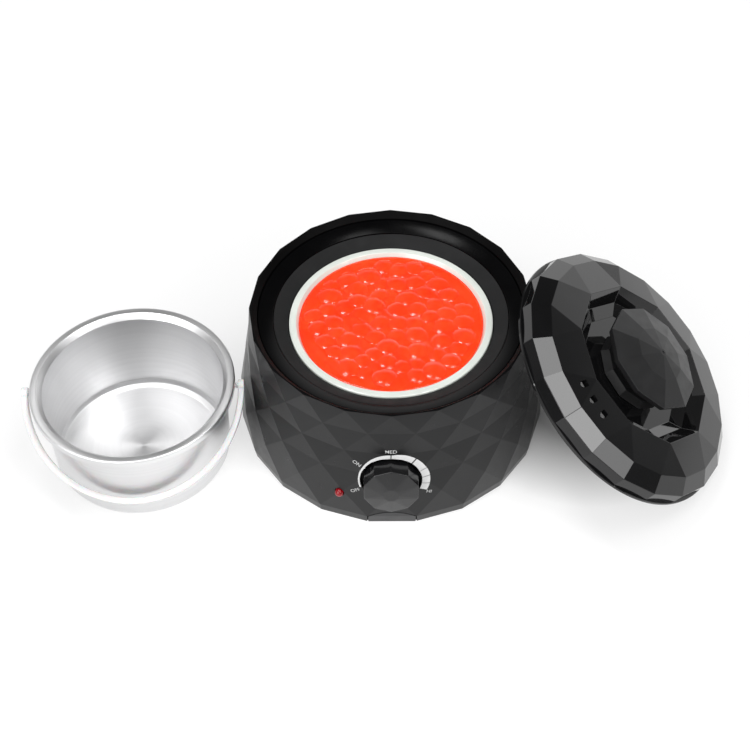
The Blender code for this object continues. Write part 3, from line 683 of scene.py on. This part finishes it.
def make_recess():
    ring = [
        (0.0752, 0.0839), (0.0752, 0.0815, 0.3), (0.0726, 0.0815, 0.3), (0.0690, 0.0790, 0.3),
        (0.0690, 0.0666, 0.3), (0.0625, 0.0666, 0.3), (0.0625, 0.0740, 0.3), (0.0668, 0.0740, 0.3),
        (0.0668, 0.0807),
    ]
    made = link("recess_slope", turned_mesh("recess_slope", ring, 160, 0.0005))
    finish_piece(made, "base", RECESS, ["recess_ring"], 35.0)
    deck = [
        (0.0665, 0.0806), (0.0665, 0.0743, 0.3), (0.0622, 0.0743, 0.3), (0.0622, 0.0700, 0.3),
        (0.0559, 0.0700, 0.3), (0.0559, 0.0723, 0.3), (0.0584, 0.0723, 0.3), (0.0584, 0.0765),
    ]
    made = link("deck_collar", turned_mesh("deck_collar", deck, 160, 0.0004))
    finish_piece(made, "base", DECK, ["deck_ring"], 35.0)
    well = [
        (0.0, 0.0181), (0.0, 0.0169), (0.0490, 0.0169), (0.0526, 0.0185), (0.0536, 0.0210),
        (0.0571, 0.0666, 0.5), (0.0620, 0.0666, 0.3), (0.0620, 0.0681, 0.3), (0.0559, 0.0681),
        (0.0524, 0.0215), (0.0516, 0.0194), (0.0485, 0.0181),
    ]
    made = link("heating_cup", turned_mesh("heating_cup", well, 128, 0.0008, 4))
    finish_piece(made, "base", WELL, ["heating_well"], 40.0)


# ---------------------------------------------------------------- pots
def pot_section(neck, drop):
    """Half section of a pot: pressed bowl, stepped outward under a square rim band."""
    top = POT_H
    band_low = top - 0.0045
    return [
        (0.0, 0.0), (0.0, 0.0015), (0.0450, 0.0015), (0.0480, 0.0024), (0.0495, 0.0050),
        (neck, top - drop, 0.6), (0.0539, top, 0.7), (POT_R, top, 1.3), (POT_R, band_low, 0.8),
        (0.0527, band_low, 0.5), (0.0511, 0.0050), (0.0496, 0.0016), (0.0466, 0.0),
    ]


def make_pots():
    bowl = turned_mesh("seated_pot", pot_section(0.0523, 0.0030), 160, 0.0007, 4)
    seated = link("seated_pot", bowl, SEAT)
    finish_piece(seated, "seated_pot", ENAMEL, ["wax_pot"], 40.0)
    bowl = turned_mesh("spare_bowl", pot_section(0.0513, 0.0032), 160, 0.0007, 4)
    spare = link("spare_bowl", bowl)
    spare.matrix_world = SPARE  # its own origin, so that the spun streaks run round its axis
    finish_piece(spare, "spare_pot", SPUN, ["spare_pot"], 40.0)
    pin = [
        (0.0, 0.0535), (0.0, 0.0616), (0.0012, 0.0616), (0.0014, 0.0612), (0.0014, 0.0588),
        (0.0016, 0.0586), (0.0016, 0.0535),
    ]
    for side, turn in (("right", math.pi / 2), ("left", -math.pi / 2)):
        at = BAIL_AXIS @ Matrix.Rotation(turn, 4, "Y")
        made = link(f"pivot_{side}", turned_mesh("pivot", pin, 40), at)
        finish_piece(made, "spare_pot", STEEL, [f"bail_pin_{side}"])


def rounded_share(value):
    """Pulls a sine or cosine outwards, so that a circle becomes a rounded rectangle."""
    return math.copysign(abs(value) ** 0.45, value)


def strip_mesh():
    """A hoop of rounded strip between the pivots, a little deeper than a half circle."""
    half_t = 0.0018
    half_w = 0.0023
    sides = 20
    count = 120
    mesh = bmesh.new()
    levels = []
    for k in range(count + 1):
        angle = math.pi * k / count
        ray = Vector((math.cos(angle), math.sin(angle) * BAIL_REACH, 0.0))
        ring = []
        for m in range(sides):
            turn = 2 * math.pi * m / sides
            a = half_t * rounded_share(math.cos(turn))
            b = half_w * rounded_share(math.sin(turn))
            ring.append(mesh.verts.new(ray * (BAIL_R + a) + Vector((0.0, 0.0, b))))
        levels.append(ring)
    for near, far in zip(levels, levels[1:]):
        for k in range(sides):
            m = (k + 1) % sides
            mesh.faces.new((near[k], near[m], far[m], far[k]))
    mesh.faces.new(levels[0])
    mesh.faces.new(list(reversed(levels[-1])))
    return stored("bail_hoop", smoothed(mesh))


def make_bail():
    """The hoop with an eye at each end, hung from the pins."""
    hang = BAIL_AXIS @ Matrix.Rotation(math.pi + BAIL_HANG, 4, "X")
    bail = link("bail_hoop", strip_mesh(), hang)
    eye = [
        (0.0, 0.0594), (0.0029, 0.0594), (0.0033, 0.0598), (0.0033, 0.0626), (0.0029, 0.0630),
        (0.0, 0.0630),
    ]
    for turn in (math.pi / 2, -math.pi / 2):
        at = hang @ Matrix.Rotation(turn, 4, "Y")
        combine(bail, "UNION", placed(turned_mesh("eye", eye, 40), at))
        combine(bail, "DIFFERENCE", placed(rod_mesh(0.0017, 0.0560, 0.0619, 32), at))
    finish_piece(bail, "bail", BAIL, ["bail_handle"], 40.0)


def bead_spots(rng, edge):
    """Places (x, y, radius, lift) for beads that overlap, but not by too much."""
    tries = 6000
    overhang = 0.985
    closeness = 0.55
    spots = []
    for _ in range(tries):
        radius = rng.uniform(0.0072, 0.0088)
        away = (edge - radius * overhang) * math.sqrt(rng.random())
        angle = rng.uniform(0.0, 2 * math.pi)
        x = away * math.cos(angle)
        y = away * math.sin(angle)
        if all(math.hypot(x - a, y - b) > (radius + c) * closeness for a, b, c, _ in spots):
            spots.append((x, y, radius, rng.uniform(-0.0008, 0.0006)))
    return spots


def add_bed(mesh, edge, bed):
    """The wavy top of the wax, closed by a skirt and a bottom that the pot hides."""
    steps = 96
    rings = 40
    skirt_share = 0.94
    skirt_z = SEAT_Z + 0.0045
    rows = [[mesh.verts.new((0.0, 0.0, bed))]]
    for i in range(1, rings + 1):
        r = edge * i / rings
        row = []
        for k in range(steps):
            a = 2 * math.pi * k / steps
            x = r * math.cos(a)
            y = r * math.sin(a)
            swell = 0.0004 * math.sin(x * 310 + 1.3) * math.cos(y * 270)
            wave = swell + 0.0003 * math.sin(x * 620 + y * 540)
            calm = min(1.0, 6 * (1 - i / rings))  # no waves where the wax meets the pot
            row.append(mesh.verts.new((x, y, bed + wave * calm)))
        rows.append(row)
    for k in range(steps):
        m = (k + 1) % steps
        mesh.faces.new((rows[0][0], rows[1][k], rows[1][m]))
    for inner, outer in zip(rows[1:], rows[2:]):
        for k in range(steps):
            m = (k + 1) % steps
            mesh.faces.new((inner[k], outer[k], outer[m], inner[m]))
    last = rows[-1]
    skirt = [mesh.verts.new((v.co.x * skirt_share, v.co.y * skirt_share, skirt_z)) for v in last]
    for k in range(steps):
        m = (k + 1) % steps
        mesh.faces.new((last[k], skirt[k], skirt[m], last[m]))
    mesh.faces.new(list(reversed(skirt)))


def make_wax():
    """Half-melted wax beads crowded over a wavy bed, in the seated pot."""
    rng = random.Random(11)
    edge = 0.0524
    bed = SEAT_Z + POT_H - 0.0021
    flatness = 0.36
    sunk = 0.22
    lean = 0.07
    lift_share = 0.6
    spots = bead_spots(rng, edge)
    mesh = bmesh.new()
    add_bed(mesh, edge, bed)
    for x, y, radius, lift in spots:
        made = bmesh.ops.create_icosphere(mesh, subdivisions=4, radius=1.0)["verts"]
        lean_x = Matrix.Rotation(rng.uniform(-lean, lean), 4, "X")
        lean_y = Matrix.Rotation(rng.uniform(-lean, lean), 4, "Y")
        size = Matrix.Diagonal((radius, radius * rng.uniform(0.94, 1.04), radius * flatness, 1.0))
        at = Matrix.Translation((x, y, bed - radius * sunk + lift * lift_share))
        bmesh.ops.transform(mesh, matrix=at @ (lean_x @ lean_y) @ size, verts=made)
    for face in mesh.faces:
        face.smooth = True
    beads = link("wax_beads", stored("wax_beads", mesh))
    finish_piece(beads, "seated_pot", WAX, ["wax_fill"], 0)


# ---------------------------------------------------------------- lid
def lid_phase(degrees):
    return math.radians(degrees) + LID_PHASE + math.pi / 2


def lid_rings(profile, phase):
    return [(radius, height, 10, phase) for radius, height in profile]


def make_lid():
    crown = ((0.0360, KNOB_SEAT), (0.0430, -0.0030), (0.0495, 0.0046))
    brim = ((0.0682, 0.0), (0.0766, -0.0070), (0.0772, LID_BOTTOM))
    rings = lid_rings(crown, lid_phase(27)) + [(r, z, SIDES, lid_phase(0)) for r, z in brim]
    lid = link("lid_body", faceted_mesh("lid_body", rings, 0.00022))
    lip_top = LID_BOTTOM + 0.0016
    lip_r = LID_LIP_R - 0.0001
    lip = [
        (0.0745, LID_BOTTOM), (0.0745, lip_top), (LID_LIP_R - 0.0005, lip_top),
        (lip_r, LID_BOTTOM + 0.0012), (lip_r, LID_BOTTOM),
    ]
    combine(lid, "UNION", turned_mesh("lip", lip, 160))
    below = LID_BOTTOM - 0.0100
    roof = KNOB_SEAT - 0.0030
    cavity = [
        (0.0, below), (0.0, roof), (0.0425, roof), (0.0510, 0.0012), (0.0645, -0.0026),
        (0.0738, -0.0092), (0.0741, below),
    ]
    combine(lid, "DIFFERENCE", turned_mesh("hollow", cavity, 160))
    rib_low = LID_BOTTOM - 0.0048
    rib = [
        (0.0692, rib_low + 0.0003), (0.0692, -0.0062), (0.0710, -0.0062),
        (0.0710, rib_low + 0.0004), (0.0706, rib_low), (0.0695, rib_low),
    ]
    combine(lid, "UNION", turned_mesh("rib", rib, 160))
    combine(lid, "DIFFERENCE", rod_mesh(0.0018, -0.0140, 0.0, 24))
    drop = [
        (-0.0022, -0.0019), (0.0010, -0.0019), (0.0021, -0.0013), (0.0027, -0.0005),
        (0.0027, 0.0005), (0.0021, 0.0013), (0.0010, 0.0019), (-0.0022, 0.0019),
    ]
    vent_r = 0.0582
    first_vent, vent_step = 135.8, 9.5  # degrees
    for k in range(3):
        spin = Matrix.Rotation(math.radians(first_vent + vent_step * k), 4, "Z")
        at = spin @ Matrix.Translation((vent_r, 0.0, 0.0))
        combine(lid, "DIFFERENCE", placed(prism_mesh("vent", drop, -0.0150, 0.0150), at))
    lid.data.transform(LID)
    finish_piece(crisp(lid), "lid", GLOSS, ["lid_shell"], 32.0)

    grip = (
        (0.0022, 0.0184), (0.0167, 0.0160), (0.0326, 0.0112), (0.0318, 0.0080), (0.0245, 0.0030),
        (0.0215, -0.0020), (0.0240, KNOB_SEAT + 0.0003),
    )
    knob = link("lid_grip", faceted_mesh("lid_grip", lid_rings(grip, lid_phase(18)), 0.00025))
    dimple = [(0.0, 0.0200), (0.0013, 0.0200), (0.0010, 0.0181), (0.0, 0.0179)]
    combine(knob, "DIFFERENCE", turned_mesh("dimple", dimple, 32))
    knob.data.transform(LID)
    finish_piece(crisp(knob), "lid", GRIP, ["lid_knob"], 32.0)


# ---------------------------------------------------------------- dial, lamp and print
def make_knob():
    rings = [
        (0.0043, 0.0115, 10, math.pi / 10),
        (0.0157, 0.0087, 10, 0.0),
        (0.0157, -0.0020, 10, 0.0),
    ]
    knob = link("dial_knob", faceted_mesh("dial_knob", rings, 0.00035, 3))
    hollow = [
        (0.0, -0.0040), (0.0090, -0.0040), (0.0090, 0.0012), (0.0032, 0.0012), (0.0032, 0.0088),
        (0.0, 0.0088),
    ]
    combine(knob, "DIFFERENCE", turned_mesh("hollow", hollow, 48))
    knob.data.transform(DIAL)
    finish_piece(crisp(knob), "dial", KNOB, ["control_knob"], 32.0)


def make_lens():
    radius, height, spring = 0.0025, 0.0026, 0.0889
    pieces = 12
    dome = [(0.0, 0.0800), (0.0, 0.0915)]
    for k in range(1, pieces + 1):
        angle = math.radians(90 - 90 * k / pieces)
        dome.append((radius * math.cos(angle), spring + height * math.sin(angle)))
    dome += [
        (radius, 0.0832), (0.0038, 0.0832), (0.0038, 0.0820), (radius, 0.0820), (radius, 0.0800),
    ]
    lens = link("lamp_lens", turned_mesh("lamp_lens", dome, 48), LAMP)
    finish_piece(lens, "base", LENS, ["indicator_lens"], 40.0)


class Skin:
    """Lays flat artwork, drawn in the dial's plane, on the faceted front."""

    def __init__(self, shell):
        graph = bpy.context.evaluated_depsgraph_get()
        mesh = bmesh.new()
        mesh.from_mesh(shell.evaluated_get(graph).to_mesh())
        self.tree = BVHTree.FromBMesh(mesh)
        self.outward = DIAL.to_3x3() @ Vector((0.0, 0.0, 1.0))
        mesh.free()

    def drop(self, x, y, proud):
        start = DIAL @ Vector((x, y, 0.030))
        hit = self.tree.ray_cast(start, -self.outward)[0]
        return DIAL @ Vector((x, y, 0.0)) if hit is None else hit + self.outward * proud


def laid_on(name, skin, mesh, proud, material):
    """A flat mesh in the dial's plane, dropped onto the front and given a skin of ink."""
    for vertex in mesh.verts:
        vertex.co = skin.drop(vertex.co.x, vertex.co.y, proud)
    bmesh.ops.recalc_face_normals(mesh, faces=mesh.faces)
    total = sum((f.normal * f.calc_area() for f in mesh.faces), Vector())
    if total.dot(skin.outward) < 0:
        bmesh.ops.reverse_faces(mesh, faces=mesh.faces)
    finish_piece(link(name, stored(name, mesh)), "base", material, (), 0)


def band(start, end, inner, outer, count=150, across=6):
    """A curved band between two edges given as functions of the angle from the top."""
    mesh = bmesh.new()
    rows = []
    for k in range(count + 1):
        angle = math.radians(start + (end - start) * k / count)
        low = inner(angle)
        high = outer(angle)
        radii = (low + (high - low) * m / across for m in range(across + 1))
        x, y = math.sin(angle), math.cos(angle)
        rows.append([mesh.verts.new((x * r, y * r, 0.0)) for r in radii])
    for a, b in zip(rows, rows[1:]):
        for m in range(across):
            mesh.faces.new((a[m], b[m], b[m + 1], a[m + 1]))
    return mesh


def outer_edge(angle):
    """Distance from the dial's axis to a circle whose centre is shifted to the right."""
    shift = 0.00165
    radius = 0.0199
    x = math.sin(angle)
    return shift * x + math.sqrt(radius**2 - shift**2 * (1 - x**2))


def inner_edge(angle):
    """Distance from the dial's axis to the pocket's rim, kept a little further out on the left."""
    left = -0.6  # radians from the top
    return 0.01735 if angle < left else 0.0172


def text_mesh(words, size, place, turn):
    curve = bpy.data.curves.new("legend", "FONT")
    curve.body = words
    curve.size = size
    curve.align_x = "CENTER"
    curve.align_y = "CENTER"
    curve.offset = size * 0.006
    curve.resolution_u = 4
    obj = in_scene("legend", curve)
    graph = bpy.context.evaluated_depsgraph_get()
    flat = bpy.data.meshes.new_from_object(obj.evaluated_get(graph))
    bpy.data.objects.remove(obj)
    mesh = bmesh.new()
    mesh.from_mesh(flat)
    bmesh.ops.triangulate(mesh, faces=mesh.faces)
    bmesh.ops.subdivide_edges(mesh, edges=mesh.edges, cuts=2, use_grid_fill=True)
    spin = Matrix.Translation((*place, 0.0)) @ Matrix.Rotation(turn, 4, "Z")
    bmesh.ops.transform(mesh, matrix=spin, verts=mesh.verts)
    return mesh


def around(angle, radius):
    a = math.radians(angle)
    return (math.sin(a) * radius, math.cos(a) * radius)


def make_print(shell):
    """The pale scale round the dial, its dark marks and generic legends."""
    skin = Skin(shell)
    proud = 0.00009
    proud_mark = proud * 1.7
    overlap = 0.0001
    laid_on("dial_scale", skin, band(-108, 113, inner_edge, outer_edge), proud, WHITE_INK)
    # name, angle round the dial, width in degrees
    marks = (
        ("mark_med", 0.0, 1.8), ("step_1", 41.0, 2.2), ("step_2", 66.0, 0.9), ("step_3", 83.0, 0.9),
        ("step_4", 98.0, 0.9),
    )
    for name, angle, width in marks:
        piece = band(
            angle - width / 2, angle + width / 2,
            lambda a: inner_edge(a) - overlap, lambda a: outer_edge(a) + overlap, 2,
        )
        laid_on(name, skin, piece, proud_mark, BLACK_INK)
    piece = band(-58.5, -55.0, lambda a: 0.0165, lambda a: 0.0176, 2)
    laid_on("mark_on", skin, piece, proud, WHITE_INK)
    # name, words, angle round the dial, distance from its axis, turn of the words
    legends = (
        ("legend_med", "MED", 0.0, 0.0222, 0.0),
        ("legend_on", "ON", -57.6, 0.0222, -36.0),
        ("legend_off", "OFF", -114.0, 0.0217, 26.0),
        ("legend_hi", "HI", 115.5, 0.0233, -12.0),
    )
    for name, words, angle, radius, turn in legends:
        flat = text_mesh(words, 0.0033, around(angle, radius), math.radians(turn))
        laid_on(name, skin, flat, proud, GREY_INK)


# ---------------------------------------------------------------- fittings kept from the CAD
def dress(name, material, width=0.0):
    """Keeps a CAD node, gives it a finish and, with a width, softens its edges."""
    obj = NODES[name]
    obj.data.materials.clear()
    obj.data.materials.append(material)
    for face in obj.data.polygons:
        face.use_smooth = True
    obj.data.set_sharp_from_angle(angle=math.radians(30.0))
    if width:
        weld = obj.modifiers.new("Weld", "WELD")
        weld.merge_threshold = 0.00001
        flat = obj.modifiers.new("Flat", "DECIMATE")
        flat.decimate_type = "DISSOLVE"
        flat.angle_limit = math.radians(0.5)
        soft = obj.modifiers.new("Soft", "BEVEL")
        soft.width = width
        soft.segments = 2
        soft.limit_method = "ANGLE"
        soft.angle_limit = math.radians(30.0)
        soft.harden_normals = True


def make_fittings():
    gland = [
        (0.0030, 0.0795, 0.3), (0.0030, 0.0920), (0.0062, 0.0920), (0.0070, 0.0905),
        (0.0070, 0.0890, 0.3), (0.0049, 0.0890, 0.3), (0.0049, 0.0795, 0.3),
    ]
    made = link("cord_bush", turned_mesh("cord_bush", gland, 64, 0.0006), REAR)
    finish_piece(made, "base", RUBBER, ["cord_gland"], 40.0)
    for k in range(4):
        dress(f"foot_{k + 1}", RUBBER, 0.0002)
        dress(f"cover_screw_{k + 1}", STEEL)
    for k in range(3):
        dress(f"clamp_screw_{k + 1}", STEEL)
    for name, material in (
        ("well_gasket", SILICONE), ("well_clamp_ring", SHEET), ("heater_band", MICA),
        ("heat_shield", SHEET), ("heater_terminal_left", BRASS), ("heater_terminal_right", BRASS),
        ("thermal_fuse", NYLON), ("thermostat_body", NYLON), ("thermostat_nut", BRASS),
        ("thermostat_shaft", STEEL), ("indicator_lamp", NYLON), ("terminal_block", NYLON),
        ("lead_supply", SLEEVE), ("lead_thermostat", SLEEVE), ("lead_heater", SLEEVE),
        ("lid_knob_screw", STEEL),
    ):
        dress(name, material)


# ---------------------------------------------------------------- stage
def make_stage():
    mesh = bmesh.new()
    bmesh.ops.create_grid(mesh, x_segments=8, y_segments=8, size=12.0)
    floor = in_scene("floor", stored("floor", mesh))
    floor.data.materials.append(floor_material())
    floor.location.z = -0.0002


def softbox(name, towards, distance, side, radiance):
    """An even square panel seen from the object in a direction, with the radiance it shows."""
    middle = Vector((0.0, 0.0, 0.04))
    away = Vector(towards).normalized() * distance
    data = bpy.data.lights.new(name, "AREA")
    data.shape = "RECTANGLE"
    data.size = side
    data.size_y = side
    data.energy = radiance * math.pi * side * side
    lamp = in_scene(name, data)
    lamp.location = middle + away
    lamp.rotation_mode = "QUATERNION"
    lamp.rotation_quaternion = away.to_track_quat("Z", "Y")


def make_sky():
    """A dim horizon, brighter behind, under a ceiling that is bright in front with a dark gap."""
    world = bpy.data.worlds.new("studio")
    bpy.context.scene.world = world
    world.use_nodes = True
    n = Nodes(world.node_tree)
    n.tree.nodes.clear()

    def fade(source, low, high, start, end):
        return n.spread(source, low, high, start, end, "SMOOTHSTEP")

    across, deep, up = n.split(n.add("ShaderNodeTexCoord").outputs["Generated"])
    low_band = fade(up, 1.0, 0.0, 0.30, 0.58)
    above = fade(up, 0.0, 1.0, 0.30, 0.58)
    horizon = n.maths("MULTIPLY", low_band, fade(deep, 0.15, 1.5, 0.0, 0.9))
    aside = n.maths("ABSOLUTE", n.maths("SUBTRACT", across, 0.07))
    gap = fade(aside, 0.30, 1.0, 0.04, 0.20)
    side = n.maths("MULTIPLY", gap, fade(across, 1.30, 0.72, -0.30, 0.50))
    front = n.maths("MULTIPLY", side, fade(deep, 1.9, 0.22, -0.35, 0.15))
    ceiling = n.maths("MULTIPLY", above, front)
    sky = n.add("ShaderNodeBackground")
    n.join(n.maths("ADD", horizon, ceiling), sky.inputs["Color"])
    n.join(sky.outputs["Background"], n.add("ShaderNodeOutputWorld").inputs["Surface"])


def make_light():
    softbox("panel_top", (0.24, -0.155, 0.955), 1.5, 0.50, 6.8)
    softbox("panel_crown", (0.18, 0.01, 0.98), 1.5, 0.28, 6.0)
    softbox("panel_middle", (0.55, -0.545, 0.636), 1.5, 0.34, 7.5)
    softbox("panel_low", (0.79, -0.55, 0.267), 1.5, 0.50, 3.9)
    softbox("spark", (-0.22, 0.16, 0.96), 1.5, 0.30, 17.0)
    softbox("key_left", (-0.60, -0.77, 0.20), 4.0, 3.0, 3.5)
    make_sky()


def make_camera():
    data = bpy.data.cameras.new("camera")
    data.sensor_width = 36.0
    data.lens = 73.66
    data.clip_start = 0.05
    data.clip_end = 20.0
    camera = in_scene("camera", data)
    right = Vector((0.99994868, 0.00194105, -0.00994374))
    up = Vector((0.00507769, 0.75329665, 0.65766129))
    back = right.cross(up).normalized()
    turn = Matrix((right.normalized(), back.cross(right).normalized(), back)).transposed()
    camera.rotation_mode = "QUATERNION"
    camera.rotation_quaternion = turn.to_quaternion()
    camera.location = (-0.00157, -0.59673, 0.71248)
    bpy.context.scene.camera = camera


bpy.context.scene.view_settings.view_transform = "Standard"
make_camera()
make_light()
make_stage()
housing = make_housing()
make_cover()
make_recess()
make_pots()
make_bail()
make_wax()
make_lid()
make_knob()
make_lens()
make_print(housing)
make_fittings()
